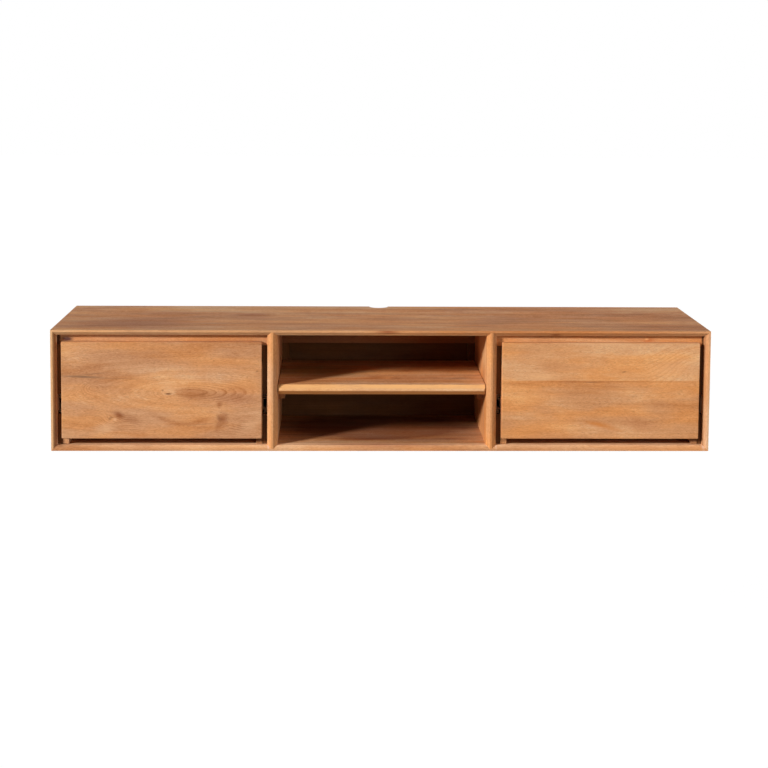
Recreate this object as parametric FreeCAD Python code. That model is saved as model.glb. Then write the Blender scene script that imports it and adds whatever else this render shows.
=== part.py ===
import FreeCAD, Part
import math
import os

# Floating media console for the living room, in millimetres.
# The origin is on the wall plane, in the middle of the wall-fixing holes. X runs along the wall,
# Y runs into the wall and Z is up, so the front of the console faces -Y.

# Case
overall_width = 1640.0
overall_depth = 400.0
overall_height = 303.0
panel_thickness = 13.0        # top, bottom and side panels, mitred at the corners
divider_thickness = 25.0
frame_bevel = 8.0             # 45-degree bevel along every inner front edge of the panels
nose_bevel = 10.0             # and along both front edges of a divider
spline_thickness = 3.0        # plywood tongue across each mitre
spline_width = 11.0
spline_setback = 20.0         # from the front and from the wall
spline_from_inner_corner = 9.2  # along the mitre, to the middle of the tongue
glue_gap = 0.1                # round splines, dowels and screws

# Back of the case
cable_space_depth = 29.0      # open space against the wall, behind the back panels
back_panel_thickness = 5.0
rear_rail_thickness = 18.0
rear_rail_height = 79.0
corner_batten_width = 20.0
notch_radius = 25.0           # half-round cable notch in the rear edge of the top
notch_clearance = 4.0         # from the notch to the wall battens beside it
cable_hole_radius = 20.0
cable_hole_drop = 36.0        # below the middle of the case
wall_hole_radius = 4.0
wall_hole_spacing = 406.0     # between the two wall screws of one outer compartment

# Fixed rail above each drawer
front_rail_setback = 21.5
front_rail_height = 28.0
front_rail_thickness = 20.0

# Battens that close the slots beside each drawer box, above and below the end of its runner
slot_batten_gap = 0.7         # to the drawer box
slot_batten_runner_gap = 3.0

# Shelf of the open compartment
shelf_thickness = 25.0
shelf_setback = 10.0
shelf_bevel = 10.0
shelf_corner_radius = 5.0
shelf_end_gap = 1.7
shelf_back_gap = 0.5
cleat_width = 16.0
cleat_height = 25.0
cleat_setback = 90.0

# Drawers
front_thickness = 18.0
front_setback = 1.0
front_outer_reveal = 12.8     # gap to the side panel
front_inner_reveal = 13.5     # gap to the divider
front_top_reveal = 17.0
front_bottom_reveal = 17.6
front_edge_radius = 2.0
box_height = 200.0
box_rear_clearance = 17.0     # between the back of the box and the rear rails
box_wall = 15.0
box_floor_clearance = 1.2     # between the box and the bottom panel of the case
box_bottom_thickness = 5.0
box_bottom_recess = 22.0      # from the lower edge of the box to its bottom panel
groove_depth = 6.0
groove_gap = 0.4
bumper_radius = 4.0
bumper_gap = 0.3
bumper_inset = 22.0           # from the end of the drawer front
bumper_drop = 5.5             # from the top edge of the drawer front

# Ball-bearing drawer runners, three nested steel channels
runner_front_inset = 10.0     # from the drawer front to the front end of the runners
runner_width = 12.7           # from the case to the drawer box
runner_height = 45.0
runner_above_box_bottom = 100.0
runner_steel = 1.2
runner_lip = 0.8
web_gap = 0.4                 # between the webs of the case channel and the middle channel
ball_radius = 1.5
ball_gap = 0.3
case_flange_reach = 9.5
middle_flange_reach = 8.4
drawer_flange_reach = 8.7
ball_row_depth = 6.0          # from the case to the middle of the balls
balls_per_row = 5
cage_end_margin = 10.0        # a cage is this much shorter than half a runner
cage_ball_margin = 22.0       # from the end of a cage to its first ball
cage_width = 5.6
cage_thickness = 0.8

# Dowels and countersunk screws
dowel_radius = 4.0
dowel_in_panel = 10.0
dowel_in_edge = 14.0
dowel_in_front = 12.0
dowel_margin = 60.0
rail_dowel_spread = 20.0
screw_radius = 2.0
screw_head_radius = 4.0
screw_tip = 3.0
screw_recess_width = 1.0
screw_recess_length = 4.4
screw_recess_depth = 1.2
cleat_screw_grip = 12.0
rail_screw_grip = 10.0
runner_screw_length = 12.0
box_screw_length = 38.0
screw_margin = 60.0
cleat_screw_margin = 20.0
shelf_screw_margin = 70.0
runner_screw_margin = 25.0
box_edge_margin = 35.0
batten_screw_margin = 140.0
short_batten_screw_margin = 60.0

# Sizes that follow from the ones above
half_width = overall_width / 2
half_height = overall_height / 2
front_y = -overall_depth
inner_half_width = half_width - panel_thickness
inner_half_height = half_height - panel_thickness
compartment_width = (2 * inner_half_width - 2 * divider_thickness) / 3
compartment_pitch = compartment_width + divider_thickness
divider_middle = compartment_pitch / 2
back_panel_y = -cable_space_depth
rear_rail_y = back_panel_y - back_panel_thickness
rear_face_y = rear_rail_y - rear_rail_thickness
rear_rail_middle = inner_half_height - rear_rail_height / 2
shelf_half_length = compartment_width / 2 - shelf_end_gap
cleat_middle_z = -shelf_thickness / 2 - cleat_height / 2
cleat_middle_x = compartment_width / 2 - cleat_width / 2
front_rail_y = front_y + front_rail_setback
front_top = inner_half_height - front_top_reveal
front_bottom = -inner_half_height + front_bottom_reveal
front_back_y = front_y + front_setback + front_thickness
box_back_y = rear_face_y - box_rear_clearance
box_half_width = compartment_width / 2 - runner_width
box_low = -inner_half_height + box_floor_clearance
box_high = box_low + box_height
box_floor = box_low + box_bottom_recess
runner_z = box_low + runner_above_box_bottom
runner_front_y = front_back_y + runner_front_inset
runner_length = box_back_y - runner_front_y
runner_middle_y = runner_front_y + runner_length / 2
cage_length = runner_length / 2 - cage_end_margin
ball_space = 2 * (ball_radius + ball_gap)
case_channel_half = runner_height / 2
middle_channel_half = case_channel_half - runner_steel - ball_space
drawer_channel_half = middle_channel_half - runner_steel - ball_space
outer_ball_height = case_channel_half - runner_steel - ball_space / 2
inner_ball_height = middle_channel_half - runner_steel - ball_space / 2

X_AXIS = FreeCAD.Vector(1, 0, 0)
Y_AXIS = FreeCAD.Vector(0, 1, 0)
Z_AXIS = FreeCAD.Vector(0, 0, 1)
ORIGIN = FreeCAD.Vector(0, 0, 0)


def block(x_low, x_high, y_low, y_high, z_low, z_high):
    corner = FreeCAD.Vector(x_low, y_low, z_low)
    return Part.makeBox(x_high - x_low, y_high - y_low, z_high - z_low, corner)


def prism(points, travel):
    """A closed straight-sided outline, swept along a straight line."""
    corners = [FreeCAD.Vector(*point) for point in points]
    outline = Part.makePolygon(corners + corners[:1])
    return Part.Face(outline).extrude(travel)


def spread(low, high, count):
    """Evenly spaced places from low to high."""
    return [low + (high - low) * step / (count - 1) for step in range(count)]


def turned(shape, direction, place):
    """A shape made along +Z at the origin, turned to a direction and moved to its place."""
    shape.Placement = FreeCAD.Placement(place, FreeCAD.Rotation(Z_AXIS, direction))
    return shape


# ---- dowels and screws: each is (place, direction, length) ----

def dowel(place, direction, length, gap=0.0):
    start = place - direction * gap
    return Part.makeCylinder(dowel_radius + gap, length + 2 * gap, start, direction)


def screw(place, direction, length, gap=0.0):
    """Countersunk wood screw with its head flush at place; a gap makes the hole it sits in."""
    head_radius = screw_head_radius + gap
    shank_radius = screw_radius + gap
    head_depth = head_radius - shank_radius
    points = [(0, 0), (head_radius, 0), (shank_radius, head_depth),
              (shank_radius, length - screw_tip), (0, length + gap)]
    corners = [FreeCAD.Vector(radius, 0, height) for radius, height in points]
    profile = Part.Face(Part.makePolygon(corners + corners[:1]))
    body = profile.revolve(ORIGIN, Z_AXIS, 360)
    if gap == 0.0:
        half_long = screw_recess_length / 2
        half_wide = screw_recess_width / 2
        slot = block(-half_long, half_long, -half_wide, half_wide, 0, screw_recess_depth)
        cross = slot.fuse(block(-half_wide, half_wide, -half_long, half_long, 0, screw_recess_depth))
        body = body.cut(cross)
    return turned(body, direction, place)


def with_holes(shape, dowels=(), screws=()):
    """Cuts the holes of the fixings that reach into a piece."""
    holes = [dowel(*fixing, gap=glue_gap) for fixing in dowels]
    holes += [screw(*fixing, gap=glue_gap) for fixing in screws]
    near = [hole for hole in holes if hole.BoundBox.intersect(shape.BoundBox)]
    return shape.cut(near) if near else shape


def divider_dowels():
    """Upright dowels that join the dividers to the top and bottom panels."""
    places = []
    for side in (-1, 1):
        for y in spread(front_y + dowel_margin, -dowel_margin, 4):
            top = FreeCAD.Vector(side * divider_middle, y, inner_half_height - dowel_in_edge)
            low = FreeCAD.Vector(side * divider_middle, y, -inner_half_height - dowel_in_panel)
            places.append((top, Z_AXIS, dowel_in_edge + dowel_in_panel))
            places.append((low, Z_AXIS, dowel_in_edge + dowel_in_panel))
    return places


def rail_end_dowels():
    """Level dowels in the ends of the rails."""
    rear_y = rear_rail_y - rear_rail_thickness / 2
    front_rail_middle_y = front_rail_y + front_rail_thickness / 2
    front_rail_z = inner_half_height - front_rail_height / 2
    places = []
    for compartment in (-1, 0, 1):
        ends = [(rear_y, level * rear_rail_middle + step)
                for level in (-1, 1) for step in (-rail_dowel_spread, rail_dowel_spread)]
        if compartment:
            ends.append((front_rail_middle_y, front_rail_z))
        for side in (-1, 1):
            end_x = compartment * compartment_pitch + side * compartment_width / 2
            inward = X_AXIS * -side
            for y, z in ends:
                start = FreeCAD.Vector(end_x, y, z) - inward * dowel_in_panel
                places.append((start, inward, dowel_in_panel + dowel_in_edge))
    return places


def cleat_screw_places():
    """Screws through the cleats: level ones into the dividers, upright ones into the shelf."""
    low_y = front_y + cleat_setback
    places = []
    for side in (-1, 1):
        for y in spread(low_y + cleat_screw_margin, rear_face_y - cleat_screw_margin, 3):
            start = FreeCAD.Vector(side * (compartment_width / 2 - cleat_width), y, cleat_middle_z)
            places.append((start, X_AXIS * side, cleat_width + cleat_screw_grip))
        for y in spread(low_y + shelf_screw_margin, rear_face_y - shelf_screw_margin, 2):
            start = FreeCAD.Vector(side * cleat_middle_x, y, cleat_middle_z - cleat_height / 2)
            places.append((start, Z_AXIS, cleat_height + cleat_screw_grip))
    return places


def front_rail_screw_places():
    """Screws up through the front rails into the top panel."""
    places = []
    reach = compartment_width / 2 - screw_margin
    for side in (-1, 1):
        for x in spread(-reach, reach, 3):
            start = FreeCAD.Vector(side * compartment_pitch + x, front_rail_y + front_rail_thickness / 2,
                                   inner_half_height - front_rail_height)
            places.append((start, Z_AXIS, front_rail_height + rail_screw_grip))
    return places


def batten_screw_places():
    """Screws from the wall side through each wall batten and back panel into the rear rail."""
    length = cable_space_depth + back_panel_thickness + rail_screw_grip
    reach = compartment_width / 2 - batten_screw_margin
    upper_spots = [side * compartment_pitch + x for side in (-1, 1) for x in (-reach, reach)]
    short_spots = [side * (compartment_width / 2 - short_batten_screw_margin) for side in (-1, 1)]
    lower_spots = upper_spots + [-reach, reach]
    places = []
    for level, spots in ((1, upper_spots + short_spots), (-1, lower_spots)):
        for x in spots:
            start = FreeCAD.Vector(x, 0, level * rear_rail_middle)
            places.append((start, -Y_AXIS, length))
    return places


def runner_screw_places(compartment, on_drawer):
    """Screws of the case channels or of the drawer channels of one drawer."""
    places = []
    for side in (-1, 1):
        wall_x = compartment * compartment_pitch + side * compartment_width / 2
        outward = X_AXIS * side
        for y in spread(runner_front_y + runner_screw_margin,
                        runner_front_y + runner_length - runner_screw_margin, 3):
            if on_drawer:
                start = FreeCAD.Vector(wall_x - side * (runner_width - runner_steel), y, runner_z)
                places.append((start, -outward, runner_screw_length))
            else:
                start = FreeCAD.Vector(wall_x - side * runner_steel, y, runner_z)
                places.append((start, outward, runner_screw_length))
    return places


def box_dowel_places(compartment):
    """Dowels that join the drawer front to the ends of the box sides."""
    places = []
    for side in (-1, 1):
        x = compartment * compartment_pitch + side * (box_half_width - box_wall / 2)
        for z in spread(box_floor + box_edge_margin, box_high - box_edge_margin, 3):
            start = FreeCAD.Vector(x, front_back_y - dowel_in_front, z)
            places.append((start, Y_AXIS, dowel_in_front + dowel_in_edge))
    return places


def box_screw_places(compartment):
    """Screws through the box sides into the ends of the box back."""
    places = []
    for side in (-1, 1):
        x = compartment * compartment_pitch + side * box_half_width
        for z in (box_floor + box_edge_margin, box_high - box_edge_margin):
            start = FreeCAD.Vector(x, box_back_y - box_wall / 2, z)
            places.append((start, X_AXIS * -side, box_screw_length))
    return places


def case_dowel_list():
    return divider_dowels() + rail_end_dowels()


def case_screw_list():
    runners = runner_screw_places(-1, False) + runner_screw_places(1, False)
    return cleat_screw_places() + front_rail_screw_places() + batten_screw_places() + runners


# ---- case panels ----

def spline_block(side, level, gap=0.0):
    """Plywood tongue across the mitre of one corner, or the groove that holds it."""
    along = spline_from_inner_corner / math.sqrt(2)
    x = side * (inner_half_width + along)
    z = level * (inner_half_height + along)
    half_wide = spline_width / 2 + gap
    half_thick = spline_thickness / 2 + gap
    tongue = block(-half_wide, half_wide, front_y + spline_setback - gap, -spline_setback + gap,
                   -half_thick, half_thick)
    tongue.rotate(ORIGIN, Y_AXIS, 45 * side * level)
    tongue.translate(FreeCAD.Vector(x, 0, z))
    return tongue


def spline_grooves():
    return [spline_block(side, level, glue_gap) for side in (-1, 1) for level in (-1, 1)]


def level_panel():
    """Top or bottom panel before its notch: mitred ends and a bevelled inner front edge."""
    panel = prism([(-half_width, front_y, half_height), (half_width, front_y, half_height),
                   (inner_half_width, front_y, inner_half_height),
                   (-inner_half_width, front_y, inner_half_height)], Y_AXIS * overall_depth)
    bevel = prism([(-half_width, front_y, inner_half_height),
                   (-half_width, front_y + frame_bevel, inner_half_height),
                   (-half_width, front_y, inner_half_height + frame_bevel)], X_AXIS * overall_width)
    return panel.cut(bevel)


def top_panel():
    notch = Part.makeCylinder(notch_radius, overall_height, ORIGIN, Z_AXIS)
    panel = level_panel().cut([notch] + spline_grooves())
    return with_holes(panel, case_dowel_list(), case_screw_list())


def bottom_panel():
    panel = level_panel().mirror(ORIGIN, Z_AXIS).cut(spline_grooves())
    return with_holes(panel, case_dowel_list(), case_screw_list())


def side_panel(side):
    outer = side * half_width
    inner = side * inner_half_width
    panel = prism([(outer, front_y, half_height), (outer, front_y, -half_height),
                   (inner, front_y, -inner_half_height), (inner, front_y, inner_half_height)],
                  Y_AXIS * overall_depth)
    bevel = prism([(inner, front_y, -half_height), (inner, front_y + frame_bevel, -half_height),
                   (inner + side * frame_bevel, front_y, -half_height)], Z_AXIS * overall_height)
    panel = panel.cut([bevel] + spline_grooves())
    return with_holes(panel, case_dowel_list(), case_screw_list())


def divider(side):
    """Upright divider. Its bevelled nose runs on to meet the bevels of the top and the bottom."""
    low_x = side * divider_middle - divider_thickness / 2
    tip = inner_half_height + frame_bevel
    body = prism([(low_x, front_y, -tip), (low_x, front_y + frame_bevel, -inner_half_height),
                  (low_x, 0, -inner_half_height), (low_x, 0, inner_half_height),
                  (low_x, front_y + frame_bevel, inner_half_height), (low_x, front_y, tip)],
                 X_AXIS * divider_thickness)
    bevels = []
    for face in (-1, 1):
        face_x = side * divider_middle + face * divider_thickness / 2
        bevels.append(prism([(face_x, front_y, -tip), (face_x, front_y + nose_bevel, -tip),
                             (face_x - face * nose_bevel, front_y, -tip)], Z_AXIS * 2 * tip))
    return with_holes(body.cut(bevels), case_dowel_list(), case_screw_list())


def mitre_splines():
    return [spline_block(side, level) for side in (-1, 1) for level in (-1, 1)]


def case_dowels():
    return [dowel(*place) for place in case_dowel_list()]


def case_screws():
    return [screw(*place) for place in case_screw_list()]


# ---- rails, battens and back panels ----

def front_rail(side):
    middle = side * compartment_pitch
    rail = block(middle - compartment_width / 2, middle + compartment_width / 2,
                 front_rail_y, front_rail_y + front_rail_thickness,
                 inner_half_height - front_rail_height, inner_half_height)
    return with_holes(rail, rail_end_dowels(), front_rail_screw_places())


def slot_battens():
    """Upright battens that close the slots beside the drawer boxes, above and below the runners."""
    width = runner_width - slot_batten_gap
    low_z = runner_z - case_channel_half - slot_batten_runner_gap
    high_z = runner_z + case_channel_half + slot_batten_runner_gap
    rail_low_z = inner_half_height - front_rail_height
    battens = []
    for compartment in (-1, 1):
        for side in (-1, 1):
            outer = compartment * compartment_pitch + side * compartment_width / 2
            inner = outer - side * width
            for z_low, z_high in ((-inner_half_height, low_z), (high_z, rail_low_z)):
                battens.append(block(min(outer, inner), max(outer, inner), front_rail_y,
                                     front_rail_y + front_rail_thickness, z_low, z_high))
    return battens


def wall_holes():
    """Holes for the wall screws, two above and two below in each outer compartment."""
    holes = []
    for side in (-1, 1):
        for step in (-1, 1):
            x = side * compartment_pitch + step * wall_hole_spacing / 2
            for level in (-1, 1):
                start = FreeCAD.Vector(x, rear_face_y, level * rear_rail_middle)
                holes.append(Part.makeCylinder(wall_hole_radius, -rear_face_y, start, Y_AXIS))
    return holes


def rear_rail(compartment, level):
    """Upper (hanging) or lower rail across the back of one compartment."""
    middle = compartment * compartment_pitch
    outer = level * inner_half_height
    inner = level * (inner_half_height - rear_rail_height)
    rail = block(middle - compartment_width / 2, middle + compartment_width / 2,
                 rear_face_y, rear_rail_y, min(outer, inner), max(outer, inner))
    return with_holes(rail.cut(wall_holes()), rail_end_dowels(), batten_screw_places())


def corner_battens(compartment):
    """Two upright battens between the rear rails, which the back panel is pinned to."""
    reach = inner_half_height - rear_rail_height
    battens = []
    for side in (-1, 1):
        outer = compartment * compartment_pitch + side * compartment_width / 2
        inner = outer - side * corner_batten_width
        battens.append(block(min(outer, inner), max(outer, inner), rear_face_y, rear_rail_y,
                             -reach, reach))
    return battens


def back_panel(compartment):
    middle = compartment * compartment_pitch
    panel = block(middle - compartment_width / 2, middle + compartment_width / 2,
                  rear_rail_y, back_panel_y, -inner_half_height, inner_half_height)
    holes = wall_holes()
    if compartment == 0:
        start = FreeCAD.Vector(0, rear_rail_y, -cable_hole_drop)
        holes.append(Part.makeCylinder(cable_hole_radius, back_panel_thickness, start, Y_AXIS))
    return with_holes(panel.cut(holes), (), batten_screw_places())


def wall_batten(x_low, x_high, level):
    """Batten between a back panel and the wall, behind a rear rail."""
    outer = level * inner_half_height
    inner = level * (inner_half_height - rear_rail_height)
    batten = block(x_low, x_high, back_panel_y, 0, min(outer, inner), max(outer, inner))
    return with_holes(batten.cut(wall_holes()), (), batten_screw_places())


def outer_wall_batten(side):
    middle = side * compartment_pitch
    return wall_batten(middle - compartment_width / 2, middle + compartment_width / 2, 1)


def middle_wall_battens():
    """Two short battens, one each side of the cable notch."""
    inner = notch_radius + notch_clearance
    outer = compartment_width / 2
    return [wall_batten(-outer, -inner, 1), wall_batten(inner, outer, 1)]


def lower_wall_battens():
    half = compartment_width / 2
    return [wall_batten(step * compartment_pitch - half, step * compartment_pitch + half, -1)
            for step in (-1, 0, 1)]


# ---- shelf ----

def shelf():
    """Shelf board with rounded front corners and a bevel above and below its front edge."""
    low_y = front_y + shelf_setback
    board = block(-shelf_half_length, shelf_half_length, low_y, rear_face_y - shelf_back_gap,
                  -shelf_thickness / 2, shelf_thickness / 2)
    corners = [edge for edge in board.Edges
               if abs(edge.CenterOfMass.y - low_y) < 0.01 and abs(edge.CenterOfMass.z) < 0.01]
    board = board.makeFillet(shelf_corner_radius, corners)
    bevels = []
    for level in (-1, 1):
        face_z = level * shelf_thickness / 2
        bevels.append(prism([(-half_width, low_y, face_z), (-half_width, low_y + shelf_bevel, face_z),
                             (-half_width, low_y, face_z - level * shelf_bevel)],
                            X_AXIS * overall_width))
    return with_holes(board.cut(bevels), (), cleat_screw_places())


def shelf_cleats():
    """Battens on the dividers that carry the ends of the shelf."""
    cleats = []
    for side in (-1, 1):
        outer = side * compartment_width / 2
        inner = outer - side * cleat_width
        cleat = block(min(outer, inner), max(outer, inner), front_y + cleat_setback, rear_face_y,
                      cleat_middle_z - cleat_height / 2, cleat_middle_z + cleat_height / 2)
        cleats.append(with_holes(cleat, (), cleat_screw_places()))
    return cleats


# ---- drawers ----

def bottom_groove(compartment):
    """Room for the edges of the bottom panel in the front, the sides and the back of a box."""
    middle = compartment * compartment_pitch
    reach = box_half_width - box_wall + groove_depth
    return block(middle - reach, middle + reach, front_back_y - groove_depth,
                 box_back_y - box_wall + groove_depth,
                 box_floor - groove_gap / 2, box_floor + box_bottom_thickness + groove_gap / 2)


def front_ends(compartment):
    """X of the left and the right end of a drawer front."""
    middle = compartment * compartment_pitch
    outer = middle + compartment * (compartment_width / 2 - front_outer_reveal)
    inner = middle - compartment * (compartment_width / 2 - front_inner_reveal)
    return min(outer, inner), max(outer, inner)


def drawer_front(compartment):
    left_end, right_end = front_ends(compartment)
    low_y = front_y + front_setback
    board = block(left_end, right_end, low_y, front_back_y, front_bottom, front_top)
    eased = [edge for edge in board.Edges if edge.CenterOfMass.y < low_y + front_thickness - 0.01]
    board = board.makeFillet(front_edge_radius, eased)
    board = board.cut(bottom_groove(compartment))
    return with_holes(board, box_dowel_places(compartment))


def box_side(compartment, side):
    outer = compartment * compartment_pitch + side * box_half_width
    inner = outer - side * box_wall
    board = block(min(outer, inner), max(outer, inner), front_back_y, box_back_y, box_low, box_high)
    board = board.cut(bottom_groove(compartment))
    screws = box_screw_places(compartment) + runner_screw_places(compartment, True)
    return with_holes(board, box_dowel_places(compartment), screws)


def box_back(compartment):
    middle = compartment * compartment_pitch
    reach = box_half_width - box_wall
    board = block(middle - reach, middle + reach, box_back_y - box_wall, box_back_y,
                  box_low, box_high)
    board = board.cut(bottom_groove(compartment))
    return with_holes(board, (), box_screw_places(compartment))


def box_bottom(compartment):
    middle = compartment * compartment_pitch
    reach = box_half_width - box_wall + groove_depth - groove_gap
    return block(middle - reach, middle + reach, front_back_y - groove_depth + groove_gap,
                 box_back_y - box_wall + groove_depth - groove_gap,
                 box_floor, box_floor + box_bottom_thickness)


def drawer_dowels(compartment):
    return [dowel(*place) for place in box_dowel_places(compartment)]


def drawer_screws(compartment):
    places = box_screw_places(compartment) + runner_screw_places(compartment, True)
    return [screw(*place) for place in places]


def drawer_bumpers(compartment):
    """Soft buttons behind the top corners of the front, which meet the front rail."""
    thickness = front_rail_y - front_back_y - bumper_gap
    left_end, right_end = front_ends(compartment)
    bumpers = []
    for x in (left_end + bumper_inset, right_end - bumper_inset):
        place = FreeCAD.Vector(x, front_back_y, front_top - bumper_drop)
        button = Part.makeCylinder(bumper_radius, thickness, place, Y_AXIS)
        rim = [edge for edge in button.Edges
               if edge.Closed and edge.CenterOfMass.y > front_back_y + thickness / 2]
        bumpers.append(button.makeFillet(bumper_radius / 4, rim))
    return bumpers


# ---- runners ----

def runner_pair(compartment, section):
    """The same channel on both sides of a drawer; section holds (reach, height) corners."""
    pair = []
    for side in (-1, 1):
        wall_x = compartment * compartment_pitch + side * compartment_width / 2
        corners = [(wall_x - side * reach, runner_front_y, runner_z + height)
                   for reach, height in section]
        pair.append(prism(corners, Y_AXIS * runner_length))
    return pair


def case_channels(compartment):
    """Channels screwed to the case, whose lips keep the balls in."""
    half = case_channel_half
    tip = case_flange_reach
    steel = runner_steel
    section = [(0, -half), (tip, -half), (tip, -half + steel + runner_lip),
               (tip - steel, -half + steel + runner_lip), (tip - steel, -half + steel),
               (steel, -half + steel), (steel, half - steel), (tip - steel, half - steel),
               (tip - steel, half - steel - runner_lip), (tip, half - steel - runner_lip),
               (tip, half), (0, half)]
    screws = runner_screw_places(compartment, False)
    return [with_holes(channel, (), screws) for channel in runner_pair(compartment, section)]


def middle_channels(compartment):
    """Channels that travel half as far as the drawer."""
    half = middle_channel_half
    web = runner_steel + web_gap
    tip = web + middle_flange_reach
    steel = runner_steel
    section = [(web, -half), (tip, -half), (tip, -half + steel), (web + steel, -half + steel),
               (web + steel, half - steel), (tip, half - steel), (tip, half), (web, half)]
    return runner_pair(compartment, section)


def drawer_channels(compartment):
    """Channels screwed to the sides of the drawer box."""
    half = drawer_channel_half
    web = runner_width
    tip = web - drawer_flange_reach
    steel = runner_steel
    section = [(web, -half), (tip, -half), (tip, -half + steel), (web - steel, -half + steel),
               (web - steel, half - steel), (tip, half - steel), (tip, half), (web, half)]
    screws = runner_screw_places(compartment, True)
    return [with_holes(channel, (), screws) for channel in runner_pair(compartment, section)]


def ball_rows(compartment, row_height):
    """Middle of each ball, one list for each row of the two runners."""
    half_row = cage_length / 2 - cage_ball_margin
    rows = []
    for side in (-1, 1):
        wall_x = compartment * compartment_pitch + side * compartment_width / 2
        for level in (-1, 1):
            rows.append([FreeCAD.Vector(wall_x - side * ball_row_depth, y, runner_z + level * row_height)
                         for y in spread(runner_middle_y - half_row, runner_middle_y + half_row,
                                         balls_per_row)])
    return rows


def balls(compartment, row_height):
    return [Part.makeSphere(ball_radius, place)
            for row in ball_rows(compartment, row_height) for place in row]


def ball_cages(compartment, row_height):
    """Flat strips with a hole for each ball."""
    cages = []
    for row in ball_rows(compartment, row_height):
        x = row[0].x
        z = row[0].z
        strip = block(x - cage_width / 2, x + cage_width / 2, runner_middle_y - cage_length / 2,
                      runner_middle_y + cage_length / 2, z - cage_thickness / 2, z + cage_thickness / 2)
        holes = [Part.makeCylinder(ball_radius + ball_gap / 2, cage_thickness,
                                   FreeCAD.Vector(x, place.y, z - cage_thickness / 2), Z_AXIS)
                 for place in row]
        cages.append(strip.cut(holes))
    return cages


# ---- writing ----

def write(node, solids):
    pieces = solids if isinstance(solids, list) else [solids]
    single = [solid for piece in pieces for solid in piece.Solids]
    shape = single[0] if len(single) == 1 else Part.makeCompound(single)
    shape.exportStep("parts/" + node + ".step")


os.makedirs("parts", exist_ok=True)

write("top_panel", top_panel())
write("bottom_panel", bottom_panel())
write("mitre_splines", mitre_splines())
write("case_dowels", case_dowels())
write("case_screws", case_screws())
write("slot_battens", slot_battens())
write("middle_wall_battens", middle_wall_battens())
write("lower_wall_battens", lower_wall_battens())
write("shelf", shelf())
write("shelf_cleats", shelf_cleats())

for end, side in (("left", -1), ("right", 1)):
    write("side_panel_" + end, side_panel(side))
    write("divider_" + end, divider(side))
    write("front_rail_" + end, front_rail(side))
    write("wall_batten_" + end, outer_wall_batten(side))

for name, compartment in (("left", -1), ("middle", 0), ("right", 1)):
    write("hanging_rail_" + name, rear_rail(compartment, 1))
    write("lower_rail_" + name, rear_rail(compartment, -1))
    write("corner_battens_" + name, corner_battens(compartment))
    write("back_panel_" + name, back_panel(compartment))

for name, compartment in (("left", -1), ("right", 1)):
    write(name + "_case_channels", case_channels(compartment))
    write(name + "_outer_balls", balls(compartment, outer_ball_height))
    write(name + "_outer_cages", ball_cages(compartment, outer_ball_height))
    write(name + "_middle_channels", middle_channels(compartment))
    write(name + "_inner_balls", balls(compartment, inner_ball_height))
    write(name + "_inner_cages", ball_cages(compartment, inner_ball_height))
    write(name + "_drawer_channels", drawer_channels(compartment))
    write(name + "_drawer_front", drawer_front(compartment))
    write(name + "_drawer_side_left", box_side(compartment, -1))
    write(name + "_drawer_side_right", box_side(compartment, 1))
    write(name + "_drawer_back", box_back(compartment))
    write(name + "_drawer_bottom", box_bottom(compartment))
    write(name + "_drawer_dowels", drawer_dowels(compartment))
    write(name + "_drawer_screws", drawer_screws(compartment))
    write(name + "_drawer_bumpers", drawer_bumpers(compartment))
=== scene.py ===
import math

import bmesh
import bpy
from mathutils import Matrix, Vector


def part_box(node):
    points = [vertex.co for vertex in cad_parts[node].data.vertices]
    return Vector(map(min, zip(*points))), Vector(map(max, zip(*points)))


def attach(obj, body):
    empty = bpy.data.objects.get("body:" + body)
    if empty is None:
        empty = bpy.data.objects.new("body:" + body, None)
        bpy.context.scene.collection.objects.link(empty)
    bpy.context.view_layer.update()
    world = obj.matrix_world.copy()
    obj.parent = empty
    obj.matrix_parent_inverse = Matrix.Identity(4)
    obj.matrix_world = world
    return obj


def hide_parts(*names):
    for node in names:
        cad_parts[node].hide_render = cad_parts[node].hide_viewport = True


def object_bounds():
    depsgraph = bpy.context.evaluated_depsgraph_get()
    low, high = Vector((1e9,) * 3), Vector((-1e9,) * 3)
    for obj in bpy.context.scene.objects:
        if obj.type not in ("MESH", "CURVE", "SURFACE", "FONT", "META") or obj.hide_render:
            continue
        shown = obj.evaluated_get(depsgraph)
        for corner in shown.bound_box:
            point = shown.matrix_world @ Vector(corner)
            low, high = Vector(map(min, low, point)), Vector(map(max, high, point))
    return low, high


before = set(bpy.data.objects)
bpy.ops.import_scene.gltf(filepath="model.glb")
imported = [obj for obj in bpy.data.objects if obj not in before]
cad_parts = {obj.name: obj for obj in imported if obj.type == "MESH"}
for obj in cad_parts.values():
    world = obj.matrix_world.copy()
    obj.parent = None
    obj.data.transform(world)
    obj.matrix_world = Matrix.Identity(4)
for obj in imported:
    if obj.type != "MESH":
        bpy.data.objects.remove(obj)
cad_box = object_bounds()

# ---- Camera ----
# The console hangs on a wall and is seen from the middle of a living room, a little left of its centre and
# from standing height. Lens in millimetres on a 36 mm sensor, places in metres, angles in degrees.

scene = bpy.context.scene
scene.view_settings.view_transform = "Standard"

camera_place = (-0.1124, -4.2780, 0.8033)
camera_yaw = 1.676
camera_pitch = -4.657
camera_roll = 0.419

camera_data = bpy.data.cameras.new("camera")
camera_data.lens = 74.10
camera_data.sensor_width = 36.0
camera_data.shift_y = -0.245
camera_data.clip_end = 100.0
camera = bpy.data.objects.new("camera", camera_data)
scene.collection.objects.link(camera)
camera.matrix_world = (
    Matrix.Translation(camera_place)
    @ Matrix.Rotation(math.radians(-camera_yaw), 4, "Z")
    @ Matrix.Rotation(math.radians(90.0 + camera_pitch), 4, "X")
    @ Matrix.Rotation(math.radians(camera_roll), 4, "Z")
)
scene.camera = camera

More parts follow.
